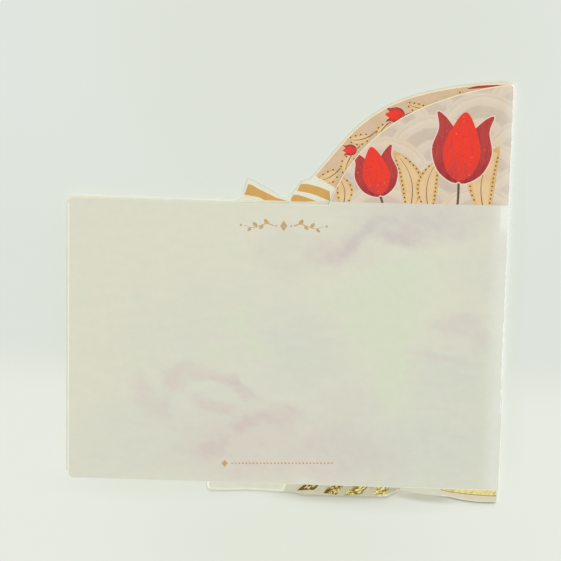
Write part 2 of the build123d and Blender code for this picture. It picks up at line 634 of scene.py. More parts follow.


# Gold stripes on the bow, and below them a pale band of painted shade along the message panel's
# edge
BOW_STRIPES = (
    (
        (-89.2, 101.8), (-88.5, 103.6), (-87.9, 105.6), (-86.6, 105.3), (-84.2, 103.9),
        (-81.2, 102.5), (-78.4, 101.2), (-76.8, 100.7), (-74.6, 100.15), (-82.4, 100.1),
        (-83.1, 100.6), (-84.8, 101.2), (-87.5, 101.6),
    ),
    (
        (-71.4, 103.8), (-70.5, 105.9), (-70.0, 106.3), (-67.8, 106.3), (-65.1, 105.7),
        (-63.1, 105.1), (-60.4, 104.0), (-60.3, 100.7), (-65.0, 102.5), (-67.4, 103.2),
        (-70.1, 103.6),
    ),
    (
        (-73.4, 100.05), (-73.5, 100.6), (-73.2, 101.4), (-72.8, 102.2), (-72.1, 102.4),
        (-71.1, 102.4), (-68.7, 101.8), (-66.0, 100.9), (-63.6, 100.0),
    ),
)
BOW_SHADE_BAND = (
    (-90.6, 99.25), (-85.5, 99.5), (-80.4, 99.8), (-73.7, 100.1), (-68.7, 100.15),
    (-63.6, 100.55), (-58.3, 100.9), (-56, 97), (-92, 97),
)


def bow_shapes():
    """Gold stripes on the white bow, and a band of painted shade below them."""
    shapes = [Shape(s, "gold", "rear", origin=s[0], turn=-0.4, size=12) for s in BOW_STRIPES]
    return shapes + [Shape(BOW_SHADE_BAND, "hem", "rear", origin=(-75, 98))]


# Pieces of foil on the foot, running in under the message panel's bottom edge
FOIL_STRIPES = (
    ((-69.0, -3.3), (-65.2, 0.3), (-60.2, 0.3), (-61.8, -1.4), (-63.2, -2.9)),
    ((-59.9, -3.9), (-58.3, -1.5), (-57.1, 0.3), (-52.3, 0.3), (-53.2, -1.1), (-55.4, -4.4)),
    (
        (-52.9, -4.5), (-50.1, -1.3), (-48.7, 0.3), (-43.8, 0.3), (-44.9, -1.2),
        (-46.6, -3.6), (-49.5, -4.2),
    ),
    (
        (-42.6, -3.4), (-42.1, -1.2), (-41.7, 0.3), (-37.1, 0.3), (-37.5, -1.0),
        (-38.3, -3.7), (-40.4, -4.0),
    ),
)
FOIL_RIM_EDGE = (
    (-19.8, -0.8), (-17.0, -1.3), (-14.7, -1.6), (-9.5, -2.05), (-4.3, -2.25), (-0.6, -2.25),
)


def foot_shapes():
    """The tab's pale face and painted highlights along its edges, the beige ground of the foil
    stripes, and the plate rim's cream face and blush band beside the fold."""
    face = [(-99.85, 2), (-99.85, -3.2), (-99.2, -3.95), (-93.4, -3.9), (-86.6, -3.45)]
    face += [(-74.6, -3.55), (-72.2, 2)]
    beige = [(-74.3, -5.6), (-38.2, -5.6), (-38.0, -3.6), (-33.6, -1.6), (-33.6, 3), (-71.2, 3)]
    low = [(-0.3, -4.3), (-3.5, -4.5), (-6.0, -4.5), (-9.0, -4.3), (-12.0, -3.9)]
    low += [(-15.0, -3.35), (-18.5, -2.8)]
    blush = spline([(-20.6, -1.9)] + list(FOIL_RIM_EDGE[1:]) + [(-0.3, -2.0)], 5) + spline(low, 5)
    edge = spline([(x, y - 0.14) for x, y in FOIL_RIM_EDGE], 5)
    widths = [0.1] + [0.4] * (len(edge) - 1)
    # The seam, the tab's lower edge and its tip carry painted highlights of lit cut edges
    seam = [(-75.0, -4.2), (-73.5, -1.6), (-72.5, 0.4)]
    side = [(-99.75, 0.5), (-99.8, -2.6), (-99.3, -3.55)]
    lit = side[2:] + [(-97.5, -3.75), (-93.4, -3.7), (-86.6, -3.25), (-75.2, -3.4)]
    hatch = [(-37.6, -0.9), (-34.6, -1.1), (-35.0, -1.9), (-37.9, -2.7)]
    tip = [(-34.0, -1.45), (-35.4, -2.6), (-37.3, -3.75), (-41.0, -4.15)]
    cream = [(-38.0, -5.6), (-19, -5.6), (-19, 2), (-33.6, 2)]
    return [
        Shape(face, "tab", "rear", origin=(-86, -3), size=30),
        Shape(cream, "rim_face", "rear", origin=(-36, -2), size=20),
        Shape(beige, "beige", "rear", origin=(-72, -3), turn=-math.pi / 2, size=34),
        Shape(ribbon(seam, [0.34] * 3), "lit", "rear", origin=(-74, -3)),
        Shape(ribbon(lit, [0.5] * len(lit)), "lit", "rear", origin=(-86, -3)),
        # Painted highlight of the tab's lit left edge, in the cut edge's colour
        Shape(ribbon(side, [0.62, 0.62, 0.5]), "cut", "rear", origin=(-99, -2)),
        Shape(hatch, "hatch", "rear", origin=(-36, -2)),
        Shape(ribbon(tip, [0.34, 0.4, 0.4, 0.3]), "lit", "rear", origin=(-36, -2)),
        Shape(blush, "blush", "rear", origin=(-12, -3), size=20),
        Shape(ribbon(edge, widths), "olive", "rear", origin=(-12, -2), size=20),
    ]


def card_print(sizes):
    """The areas that bound the print, and its shapes in the order in which they are laid down."""
    margin = sizes.margin / MM
    panel = inset(message_outline(), margin)
    top = MESSAGE_SIZE[1] - sizes.top_margin / MM
    panel = [(x, min(y, top) if x < MESSAGE_DOME[-1][0] - 1 else y) for x, y in panel]
    bottom = 0.08
    panel = [(x, bottom if y < margin + 0.02 else y) for x, y in panel]
    (left, low), (right, high) = DOME_LINE
    areas = {
        "panel": worn_fold(panel, 4),
        "dome": [(left, low), (right, high), (right, 150), (left, 150)],
    }
    around = rear_dome()[:-1] + [(-58.4, 104.6), (-56, 90), (0, 90)]
    areas["ring_edge"] = around
    areas["ring"] = inset(around, sizes.ring_margin / MM)
    dome = ("panel", "dome")
    field = [(-149, -1), (1, -1), (1, high), (left, low), (-149, low)]
    border = [(-149, 98), (-56, 98), (-56, 104.5), (-62, 104.5), (-149, 101)]
    shapes = [Shape(border, "board"), Shape(field, "tint", within=("panel",))]
    shapes += heading_shapes(("panel",)) + rule_shapes(("panel",)) + dome_shapes(dome)
    shapes += ring_shapes(("ring",)) + bow_shapes() + foot_shapes()
    return areas, shapes


# Meshes


def fold_place():
    """Where the print's (0, 0) stands in the row frame, on the table."""
    low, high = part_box(NODE)
    return Vector((high[0], high[1] - REAR_DOME[0][1] * MM, low[2]))


# The inks, in the order in which the sheet's mesh has their materials
SHEET_INKS = (
    "board", "bare", "cracked", "cut", "rear_cut", "edge", "margin", "tint", "wave", "gap",
    "crimson", "red", "leaf", "leaf_edge", "line", "gold", "heading", "ring", "hem", "beige",
    "blush", "tab", "rim_face", "olive", "lit", "hatch",
)
# Within this distance two points of a flat cut are one
TOLERANCE = 1e-5


def cut_flat(loops, lines=(), inner=()):
    """Cuts a flat piece, the first loop, along every other loop and line, with a corner at each
    inner point. Gives its points, and its triangles with the numbers of the loops they lie in."""
    points, faces, edges = [], [], []
    for loop in loops:
        loop = anticlockwise(loop)
        faces.append(list(range(len(points), len(points) + len(loop))))
        points += [Vector(p) for p in loop]
    for a, b in lines:
        edges.append((len(points), len(points) + 1))
        points += [Vector(a), Vector(b)]
    points += inner
    spots, _, triangles, _, _, held = delaunay_2d_cdt(points, edges, faces, 1, TOLERANCE)
    kept = [(tuple(t), set(h)) for t, h in zip(triangles, held) if 0 in h]
    if not kept:
        raise RuntimeError("a flat outline could not be cut")
    return spots, kept


def outer_edges(triangles):
    """The directed edges that belong to one triangle only, in the order in which they come up."""
    edges = {}
    for t in triangles:
        for a, b in zip(t, t[1:] + t[:1]):
            if (b, a) in edges:
                del edges[(b, a)]
            else:
                edges[(a, b)] = True
    return list(edges)


def make_mesh(name, points, faces, places, materials, sharp):
    """A smooth mesh that keeps the edges over the angle sharp, from points in mm, with layers of
    places at the faces' corners for the inks to read."""
    shift = fold_place()
    mesh = bpy.data.meshes.new(name)
    mesh.from_pydata([Vector(p) * MM + shift for p in points], [], faces)
    for layer_name, values in places.items():
        layer = mesh.uv_layers.new(name=layer_name)
        layer.data.foreach_set("uv", [v for pair in values for v in pair])
    for material in materials:
        mesh.materials.append(material)
    mesh.shade_smooth()
    mesh.set_sharp_from_angle(angle=sharp)
    if mesh.validate():
        raise RuntimeError(name + ": the mesh was not sound")
    return mesh


def bare_ink(s, y, outer, fold):
    """What shows where nothing is printed: torn fibres, a cut's margin, or plain board."""
    if outer and s < fold.rear_run:
        if s > -TORN:
            return "cracked"
        # Bare board beside the message dome takes the edge ink: cream, warmed further as a painted
        # reflection of the dome's print
        return "edge" if y > DOME_LINE[0][1] else "bare"
    return "margin" if s > fold.rear_run and not outer and y > BARE_STRIP else "board"


def rim_ink(s, y, fold):
    """What shows on a cut edge: warm on the message dome, a cream edge warmed by painted
    reflection;
    plain at the back; darker at the rear panel's foot as painted shadow; else bright.
    """
    if s < fold.rear_run:
        if -TORN > s > DOME_END and y > DOME_LINE[0][1]:
            return "edge"
        return "board" if s < DOME_END and y > BARE_STRIP + 1 else "cut"
    # At the foot the cut edge takes a darker colour: painted shadow
    return "board" if y > 2 else "rear_cut"


def flat_loops(fold, crush, areas, shapes):
    """The flat sheet's outline, drawn in by crush, then each area and each shape of its print."""
    message = [(fold.to_sheet(x, "message"), y) for x, y in message_outline()]
    rear = [(fold.to_sheet(x, "rear"), y) for x, y in rear_outline()]
    loops = [inset(anticlockwise(message[::-1] + rear[1:]), crush)]
    for name, points in areas.items():
        side = "rear" if name.startswith("ring") else "message"
        loops.append([(fold.to_sheet(x, side), y) for x, y in points])
    for shape in shapes:
        loops.append([(fold.to_sheet(x, shape.side), y) for x, y in shape.points])
    return loops


def crushed_edge(spots, ahead, crush):
    """The outline's corners, each moved out by crush. ahead gives the next corner of each."""
    behind = {b: a for a, b in ahead.items()}
    moved = {}
    for i in ahead:
        before = (spots[i] - spots[behind[i]]).normalized()
        after = (spots[ahead[i]] - spots[i]).normalized()
        normal = Vector((before.y + after.y, -before.x - after.x)) / (1 + before.dot(after) + 1e-9)
        moved[i] = spots[i] + normal * crush
    return moved


def build_sheet(sizes):
    """The printed sheet, cut flat and folded, as one closed mesh."""
    fold = Fold(sizes.board / MM)
    crush = sizes.crush / MM
    half = fold.board / 2
    areas, shapes = card_print(sizes)
    area_numbers = {name: i for i, name in enumerate(areas, start=1)}
    first_shape = 1 + len(areas)
    spots, triangles = cut_flat(flat_loops(fold, crush, areas, shapes), fold.lines())

    def shape_over(held, s, outer):
        """The last shape printed over a place that lies in the loops held, on one face."""
        side = "message" if s < 0 else "rear"
        if outer != (side == "message"):
            return None
        for loop in sorted(held, reverse=True):
            if loop < first_shape:
                return None
            shape = shapes[loop - first_shape]
            bounds = [area_numbers[name] for name in shape.within]
            if shape.side == side and held.issuperset(bounds):
                return shape
        return None

    points, faces, inks = [], [], []
    places = {"flat": [], "motif": []}
    number = {}
    for i in sorted({i for t, _ in triangles for i in t}):
        s, y = spots[i]
        number[i] = len(points)
        for offset in (half, -half):
            x, z = fold.place(s, offset)
            points.append((x, y, z))

    def corner_places(t, shape):
        for i in t:
            s, y = spots[i]
            x = fold.to_panel(s)
            places["flat"].append((x / FLAT_UNIT, y / FLAT_UNIT))
            places["motif"].append(shape.local(x, y) if shape else (0.0, 0.0))

    for t, held in triangles:
        middle = sum(spots[i].x for i in t) / 3
        height = sum(spots[i].y for i in t) / 3
        for outer in (True, False):
            shape = shape_over(held, middle, outer)
            order = t if outer else t[::-1]
            faces.append([number[i] + (0 if outer else 1) for i in order])
            ink = shape.ink if shape else bare_ink(middle, height, outer, fold)
            inks.append(SHEET_INKS.index(ink))
            corner_places(order, shape)
    ahead = dict(outer_edges(t for t, _ in triangles))
    rim = {}
    for i, spot in crushed_edge(spots, ahead, crush).items():
        rim[i] = len(points)
        for offset in (half - crush, crush - half):
            x, z = fold.place(spot.x, offset)
            points.append((x, spot.y, z))
    for a, b in ahead.items():
        rows = [(number[a], number[b]), (rim[a], rim[b])]
        rows += [(rim[a] + 1, rim[b] + 1), (number[a] + 1, number[b] + 1)]
        for (p, q), (r, t) in zip(rows, rows[1:]):
            faces.append([p, r, t, q])
            inks.append(SHEET_INKS.index(rim_ink(spots[a].x, spots[a].y, fold)))
            corner_places((a, a, b, b), None)

    materials = [ink_material(ink) for ink in SHEET_INKS]
    mesh = make_mesh("card_sheet", points, faces, places, materials, math.radians(30))
    mesh.polygons.foreach_set("material_index", inks)
    return mesh


# The foil's mesh step, how far its edge strays, and how high its creases stand
FOIL_STEP = 0.28
FOIL_STRAY = 0.05
FOIL_CREASE = 0.035


def build_foil(name, outlines, seed, crumple):
    """Thin crinkled leaves of foil on the rear panel, each a closed slab."""
    sizes, _ = chosen()
    board, lift = sizes.board / MM, sizes.foil / MM
    ragged = random.Random(seed)
    points, faces = [], []
    for outline in outlines:
        loop = []
        for a, b in zip(outline, outline[1:] + outline[:1]):
            steps = max(int((Vector(b) - Vector(a)).length / FOIL_STEP), 1)
            for i in range(steps):
                stray = Vector((ragged.uniform(-1, 1), ragged.uniform(-1, 1))) * FOIL_STRAY
                loop.append(Vector(a).lerp(Vector(b), i / steps) + stray)
        low = [min(p[k] for p in loop) for k in (0, 1)]
        high = [max(p[k] for p in loop) for k in (0, 1)]
        inner = []
        for i in range(int((high[0] - low[0]) / FOIL_STEP) + 1):
            for k in range(int((high[1] - low[1]) / FOIL_STEP) + 1):
                jitter = Vector((ragged.uniform(0.1, 0.9), ragged.uniform(0.1, 0.9)))
                inner.append(Vector(low) + (Vector((i, k)) + jitter) * FOIL_STEP)
        spots, kept = cut_flat([loop], inner=inner)
        kept = [t for t, _ in kept]
        number = {}
        for i in sorted({i for t in kept for i in t}):
            x, y = spots[i]
            ridge = 1 - abs(noise.noise(Vector((x * 1.3, y * 1.3, seed))) * 2)
            crease = max(ridge, 0) ** 3 + 0.4 * noise.noise(Vector((x * 2.9, y * 2.9, seed + 5)))
            number[i] = len(points)
            points.append((x, y, board + lift + FOIL_CREASE * crumple * max(crease, 0)))
            points.append((x, y, board - 0.5 * lift))
        for t in kept:
            faces.append([number[i] for i in t])
            faces.append([number[i] + 1 for i in t[::-1]])
        for a, b in sorted(outer_edges(kept)):
            faces.append([number[a], number[a] + 1, number[b] + 1, number[b]])
    corners = [points[i] for face in faces for i in face]
    places = {"flat": [(x / FLAT_UNIT, y / FLAT_UNIT) for x, y, _ in corners]}
    return make_mesh(name, points, faces, places, [foil_material(name, crumple)], math.radians(35))


# Materials


# The tone that mottling multiplies a paper's colour by, and the pale tone of its grain
MOTTLE_TONE = (*(0.72 * c for c in srgb(226, 218, 196)[:3]), 1.0)
GRAIN_TONE = srgb(238, 238, 226)


class Net:
    """A material's nodes, with short words for the few kinds that the inks use."""

    def __init__(self, name):
        self.material = bpy.data.materials.new(name)
        self.material.use_nodes = True
        self.tree = self.material.node_tree
        self.tree.nodes.clear()
        self.shader = self.node("ShaderNodeBsdfPrincipled")
        output = self.node("ShaderNodeOutputMaterial")
        self.tree.links.new(self.shader.outputs[0], output.inputs[0])

    def node(self, kind, **settings):
        made = self.tree.nodes.new(kind)
        for key, value in settings.items():
            setattr(made, key, value)
        return made

    def put(self, socket, value):
        if isinstance(value, bpy.types.NodeSocket):
            self.tree.links.new(value, socket)
        else:
            socket.default_value = value

    def uv(self, name="flat"):
        return self.node("ShaderNodeUVMap", uv_map=name).outputs[0]

    def math(self, operation, first, second, clamp=False):
        made = self.node("ShaderNodeMath", operation=operation, use_clamp=clamp)
        self.put(made.inputs[0], first)
        self.put(made.inputs[1], second)
        return made.outputs[0]

    def product(self, first, *others):
        for other in others:
            first = self.math("MULTIPLY", first, other)
        return first

    def vector(self, operation, first, second=(0, 0, 0), scale=None):
        made = self.node("ShaderNodeVectorMath", operation=operation)
        self.put(made.inputs[0], first)
        self.put(made.inputs[1], second)
        if scale is not None:
            self.put(made.inputs["Scale"], scale)
        return made.outputs["Value" if operation in ("LENGTH", "DOT_PRODUCT") else "Vector"]

    def noise(self, where, scale, detail=3.0, rough=0.5, distort=0.0, colour=False):
        made = self.node("ShaderNodeTexNoise")
        self.put(made.inputs["Vector"], where)
        settings = {"Scale": scale, "Detail": detail, "Roughness": rough, "Distortion": distort}
        for socket, value in settings.items():
            made.inputs[socket].default_value = value
        return made.outputs["Color" if colour else "Fac"]

    def fade(self, value, low, high, first=0.0, last=1.0):
        made = self.node("ShaderNodeMapRange", interpolation_type="SMOOTHSTEP")
        for socket, amount in zip(made.inputs, (value, low, high, first, last)):
            self.put(socket, amount)
        return made.outputs[0]

    def blend(self, factor, first, second, kind="MIX"):
        made = self.node("ShaderNodeMix", data_type="RGBA", blend_type=kind)
        # The sockets for colours are the node's inputs 6 and 7 and its output 2
        self.put(made.inputs[0], factor)
        self.put(made.inputs[6], first)
        self.put(made.inputs[7], second)
        return made.outputs[2]

    def axis(self, vector, index):
        made = self.node("ShaderNodeSeparateXYZ")
        self.put(made.inputs[0], vector)
        return made.outputs[index]

    def mapped(self, vector, location=(0, 0, 0), turn=0.0, scale=(1, 1, 1)):
        made = self.node("ShaderNodeMapping", vector_type="TEXTURE")
        self.put(made.inputs["Vector"], vector)
        made.inputs["Location"].default_value = location
        made.inputs["Rotation"].default_value = (0, 0, turn)
        made.inputs["Scale"].default_value = scale
        return made.outputs[0]

    def bump(self, height, strength, distance, normal=None):
        made = self.node("ShaderNodeBump")
        made.inputs["Strength"].default_value = strength
        made.inputs["Distance"].default_value = distance
        self.put(made.inputs["Height"], height)
        if normal is not None:
            self.put(made.inputs["Normal"], normal)
        return made.outputs[0]

    def paper(self, colour, rough=0.62, sheen=0.3, mottle=0.05):
        """Finishes a matt paper face of that colour: faint mottling, tooth and waviness."""
        flat = self.uv()
        cloud = self.noise(flat, 34.0, 4.0, 0.62)
        grain = self.noise(flat, 260.0, 2.0, 0.55)
        mottled = self.fade(cloud, 0.3, 0.7, 0.0, mottle)
        colour = self.blend(mottled, colour, MOTTLE_TONE, "MULTIPLY")
        colour = self.blend(self.fade(grain, 0.25, 0.75, 0.0, mottle * 0.9), colour, GRAIN_TONE)
        self.put(self.shader.inputs["Base Color"], colour)
        dull = self.fade(cloud, 0.2, 0.8, rough - 0.06, rough + 0.06)
        self.put(self.shader.inputs["Roughness"], dull)
        self.shader.inputs["Specular IOR Level"].default_value = sheen
        fibres = self.noise(self.mapped(flat, turn=0.4, scale=(1.0, 2.6, 1.0)), 620.0, 3.0, 0.6)
        waviness = self.bump(self.noise(flat, 7.0, 2.0, 0.4), 0.5, 0.35 * MM)
        self.put(self.shader.inputs["Normal"], self.bump(fibres, 0.45, 0.03 * MM, waviness))
        return self.material


# Soft clouds of the marbling: centre, reach along and across in mm, turn in degrees, weight
MAUVE_CLOUDS = (
    (-30, 97, 38, 13, 2, 0.52),
    (-58, 84, 15, 9, 20, 0.4),
    (-50, 90, 14, 5, 42, 0.6),
    (-57, 82, 9, 3.5, 25, 0.4),
    (-37, 88, 14, 4, -18, 0.55),
    (-30, 92, 22, 9, 0, 0.3),
    (-16, 60, 14, 7, 8, 0.5),
    (-8, 54, 6, 8, 20, 0.4),
    (-22, 48, 16, 3, -4, 0.35),
    (-123, 33, 6, 9, 5, 0.45),
    (-117, 26, 8, 7, 0, 0.45),
    (-112, 36, 5, 8, 10, 0.5),
    (-104, 40, 11, 3.2, -4, 0.5),
    (-91, 35, 13, 3.6, -32, 0.75),
    (-98, 28, 13, 4, -20, 0.55),
    (-86, 21, 8, 5, 20, 0.55),
    (-75, 25, 12, 6, 8, 0.6),
    (-88, 14, 32, 20, 0, 0.45),
    (-98, 12, 9, 5, 30, 0.35),
    (-53, 12, 28, 17, -10, 0.55),
    (-52, 30, 16, 9, 0, 0.25),
    (-110, 8, 16, 6, 20, 0.15),
    (-78, 4, 30, 7, 0, 0.2),
    (-73, 82, 17, 15, 0, 0.15),
    (-48, 81, 9, 7, 0, 0.2),
)
GREEN_CLOUDS = (
    (-38, 68, 24, 22, 0, 0.85),
    (-30, 78, 18, 9, 10, 0.3),
    (-40, 50, 15, 22, 8, 0.65),
    (-38, 36, 11, 16, 8, 0.5),
    (-58, 68, 16, 8, -6, 0.45),
    (-50, 60, 14, 14, 0, 0.4),
    (-91, 59, 9, 7, 20, 0.7),
    (-84, 51, 15, 4.5, -42, 0.65),
    (-99, 48, 9, 5, -40, 0.55),
    (-125, 44, 7, 4, 10, 0.35),
    (-144, 66, 6, 10, 0, 0.4),
    (-93, 82, 5, 6, 0, 0.4),
    (-103, 81, 4, 4, 0, 0.3),
    (-138, 49, 6, 6, 0, 0.25),
    (-3, 40, 8, 22, 0, 0.45),
)
COOL_CLOUDS = (
    (-22, 26, 52, 40, 0, 0.55),
    (-66, 49, 22, 22, 0, 0.45),
    (-14, 44, 24, 16, 0, 0.35),
    (-22, 10, 40, 22, 0, 0.35),
    (-10, 78, 16, 16, 0, 0.4),
    (-70, 20, 30, 20, 0, 0.2),
    (-95, 45, 60, 50, 0, 0.4),
    (-125, 12, 40, 26, 0, 0.45),
    (-73, 82, 17, 15, 0, 0.25),
)


def clouds(net, where, table):
    """The sum of soft oval clouds."""
    total = None
    for x, y, along, across, turn, weight in table:
        centre = (x / FLAT_UNIT, y / FLAT_UNIT, 0)
        size = (along / FLAT_UNIT, across / FLAT_UNIT, 1.0)
        spot = net.mapped(where, centre, math.radians(turn), size)
        ball = net.node("ShaderNodeTexGradient", gradient_type="SPHERICAL")
        net.put(ball.inputs[0], spot)
        amount = net.fade(ball.outputs["Fac"], 0.0, 0.8, 0.0, weight)
        total = amount if total is None else net.math("ADD", total, amount)
    return total


def tint_ink(colours):
    """The message panel's pale marbled ground, lighter where the board rolls into the fold, and
    most of all at the top of the roll: a painted highlight."""
    net = Net("message_tint")
    flat = net.uv()
    drift = net.vector("SUBTRACT", net.noise(flat, 8.0, 5.0, 0.62, colour=True), (0.5, 0.5, 0.5))
    where = net.vector("ADD", flat, net.vector("SCALE", drift, scale=0.12))
    breakup = net.noise(net.mapped(flat, turn=-0.4, scale=(1.0, 0.6, 1.0)), 15.0, 5.0, 0.6, 0.5)
    streaks = net.noise(net.mapped(flat, scale=(3.0, 1.0, 1.0)), 30.0, 4.0, 0.65)
    broken = {
        "mauve": (MAUVE_CLOUDS, net.fade(breakup, 0.32, 0.66, 0.7, 1.15)),
        "green": (GREEN_CLOUDS, net.fade(breakup, 0.3, 0.7, 1.1, 0.7)),
        "cool": (COOL_CLOUDS, net.fade(streaks, 0.3, 0.7, 0.75, 1.1)),
    }
    amounts = {}
    for tone, (table, share) in broken.items():
        amounts[tone] = net.math("MULTIPLY", clouds(net, where, table), share, True)
    colour = net.blend(net.fade(streaks, 0.35, 0.7, 0.0, 0.22), colours.tint[:], colours.cool[:])
    colour = net.blend(amounts["cool"], colour, colours.cool[:])
    colour = net.blend(amounts["green"], colour, colours.green[:])
    x, y = net.axis(flat, 0), net.axis(flat, 1)
    purple = net.blend(net.fade(x, -0.72, -0.5), colours.rosy[:], colours.mauve[:])
    colour = net.blend(amounts["mauve"], colour, purple)
    # Painted highlight on the roll into the fold, broader near the top, with a brighter crest at
    # the fold
    roll_highlight = net.product(net.fade(x, -0.075, -0.012), net.fade(y, 0.86, 0.95, 0.42, 0.55))
    crest_highlight = net.fade(x, -0.014, -0.004, 0.0, 0.6)
    colour = net.blend(net.math("MAXIMUM", roll_highlight, crest_highlight), colour, colours.roll[:])
    # Painted highlight along the top of the roll, the lightest part
    top = net.product(net.fade(x, -0.034, -0.028, 0.0, 0.85), net.fade(y, 0.905, 0.955))
    top = net.product(top, net.fade(x, -0.04, -0.008, 0.75, 1.0))
    return net.paper(net.blend(top, colour, srgb(239, 241, 231)), mottle=0.04)


# Rings of one wave, from its centre to its edge: place, share of the dark tone
WAVE_RINGS = ((0.0, 0.75), (0.22, 0.85), (0.31, 0.3), (0.42, 0.2), (0.49, 1.0), (0.68, 0.9))
WAVE_RINGS += ((0.75, 0.25), (0.87, 0.0), (0.92, 0.45), (0.96, 0.1), (1.0, 0.4))


def wave_ink(colours):
    """Round waves in soft brushed rings from each wave's own centre; paler beside the fold, a
    painted highlight.
    """
    net = Net("wave_ink")
    motif = net.uv("motif")
    flat = net.uv()
    turn = net.math("ARCTAN2", net.axis(motif, 1), net.axis(motif, 0))
    stir = net.product(net.math("SUBTRACT", net.noise(flat, 30.0, 3.0, 0.6), 0.5), 0.1)
    reach = net.math("ADD", net.vector("LENGTH", motif), stir)
    rings = net.node("ShaderNodeValToRGB")
    rings.color_ramp.interpolation = "EASE"
    for i, (place, share) in enumerate(WAVE_RINGS):
        stop = rings.color_ramp.elements[i] if i < 2 else rings.color_ramp.elements.new(place)
        stop.position = place
        stop.color = (share, share, share, 1.0)
    net.put(rings.inputs[0], reach)
    brush = net.node("ShaderNodeCombineXYZ")
    net.put(brush.inputs[0], turn)
    net.put(brush.inputs[1], net.product(reach, 7.0))
    strokes = net.noise(brush.outputs[0], 2.2, 4.0, 0.6, 0.3)
    patchy = net.fade(net.noise(flat, 9.0, 3.0, 0.6), 0.3, 0.7, 0.85, 1.05)
    amount = net.product(rings.outputs[0], net.fade(strokes, 0.3, 0.65, 0.7, 1.0), patchy)
    warm = net.fade(net.noise(flat, 5.5, 2.0, 0.5), 0.52, 0.66, 0.0, 0.75)
    colour = net.blend(warm, colours.cream[:], colours.peach[:])
    colour = net.blend(amount, colour, colours.wave[:])
    # Painted highlight beside the fold
    fold_highlight = net.fade(net.axis(flat, 0), -0.04, -0.005, 0.0, 0.3)
    return net.paper(net.blend(fold_highlight, colour, colours.roll[:]))


def petal_ink(name, light, dark, amount):
    """A petal's ink: fine veins along the petal, a darker foot, small flecks."""
    net = Net(name)
    motif = net.uv("motif")
    streaks = net.noise(net.mapped(motif, scale=(1.0, 5.0, 1.0)), 16.0, 4.0, 0.65, 0.4)
    along = net.axis(motif, 1)
    foot = net.fade(along, 0.45, 0.0, 0.0, amount)
    shade = net.math("ADD", net.fade(streaks, 0.42, 0.72, 0.0, 0.6), foot)
    colour = net.blend(net.math("MINIMUM", shade, 1.0), light, dark)
    flecks = net.node("ShaderNodeTexVoronoi")
    net.put(flecks.inputs["Vector"], net.uv())
    flecks.inputs["Scale"].default_value = 48.0
    fleck = net.fade(flecks.outputs["Distance"], 0.16, 0.08, 0.0, 0.35)
    colour = net.blend(fleck, colour, srgb(248, 150, 130))
    grit = net.noise(net.uv(), 150.0, 3.0, 0.7)
    colour = net.blend(net.fade(grit, 0.56, 0.68, 0.0, 0.45), colour, srgb(132, 34, 34))
    return net.paper(colour, rough=0.6, sheen=0.12, mottle=0.02)


def shaded_ink(name, light, dark):
    """An ink that drifts from one colour to another across its motif, with some unevenness."""
    net = Net(name)
    along = net.axis(net.uv("motif"), 1)
    uneven = net.noise(net.uv(), 22.0, 4.0, 0.6)
    uneven = net.fade(uneven, 0.35, 0.7, 0.0, 0.55)
    amount = net.math("ADD", net.fade(along, 0.0, 1.0, 0.0, 0.45), uneven)
    return net.paper(net.blend(amount, light, dark), rough=0.6, mottle=0.06)


# How much the torn fibres of the cracked fold catch grazing light
TORN_SHEEN = 0.6


def cracked_ink():
    """The torn white fibres along the fold, greyer towards the foot as painted shade."""
    net = Net("cracked")
    flat = net.uv()
    uneven = net.fade(net.noise(flat, 22.0, 4.0, 0.6), 0.3, 0.7, -0.06, 0.06)
    height = net.math("ADD", net.axis(flat, 1), uneven)
    # Painted shade: greyer towards the foot
    colour = net.blend(net.fade(height, 0.22, 0.42), srgb(229, 230, 217), srgb(255, 255, 250))
    net.shader.inputs["Sheen Weight"].default_value = TORN_SHEEN
    net.shader.inputs["Sheen Roughness"].default_value = 0.4
    return net.paper(colour, rough=0.6, mottle=0.04)


# The tone that each of these drifts to from its own colour
DARK_TONES = {
    "board": (221, 222, 200),
    "cut": (230, 231, 214),
    # Painted shadow on the foot's cut edge
    "rear_cut": (182, 180, 148),
    "leaf": (222, 184, 132),
    "leaf_edge": (208, 164, 100),
    "line": (104, 80, 48),
    "gold": (198, 150, 74),
    "heading": (184, 150, 98),
}
# Both tones of the bare margins and of the ring's, the bow's and the foot's inks
PLAIN_TONES = {
    # A cream margin, warmed further as a painted reflection of the print beside it
    "edge": ((247, 231, 198), (240, 222, 188)),
    "margin": ((230, 230, 212), (224, 224, 205)),
    "gap": ((236, 212, 196), (230, 202, 184)),
    "ring": ((214, 187, 153), (201, 175, 137)),
    # A band of painted shade on the bow, along the message panel's edge
    "hem": ((219, 218, 198), (214, 213, 193)),
    "beige": ((206, 203, 176), (186, 180, 150)),
    "blush": ((218, 209, 184), (212, 202, 176)),
    "tab": ((222, 222, 203), (215, 215, 196)),
    "rim_face": ((216, 213, 190), (211, 208, 184)),
    "olive": ((170, 160, 100), (150, 140, 84)),
    # Painted highlight along edges of the foot
    "lit": ((234, 234, 210), (228, 227, 203)),
    "hatch": ((184, 178, 158), (172, 166, 146)),
}


def ink_material(kind):
    """The material of one ink, or of the bare board."""
    _, colours = chosen()
    if kind == "tint":
        return tint_ink(colours)
    if kind == "wave":
        return wave_ink(colours)
    if kind == "cracked":
        return cracked_ink()
    if kind == "red":
        return petal_ink("red_ink", colours.red[:], colours.crimson[:], 0.4)
    if kind == "crimson":
        return petal_ink("crimson_ink", colours.crimson[:], srgb(150, 44, 46), 0.6)
    if kind == "bare":
        return shaded_ink("bare", colours.cut[:], srgb(238, 240, 226))
    if kind in DARK_TONES:
        name = kind if kind in ("board", "cut", "rear_cut") else kind + "_ink"
        return shaded_ink(name, getattr(colours, kind)[:], srgb(*DARK_TONES[kind]))
    light, dark = PLAIN_TONES[kind]
    return shaded_ink(kind + "_ink", srgb(*light), srgb(*dark))


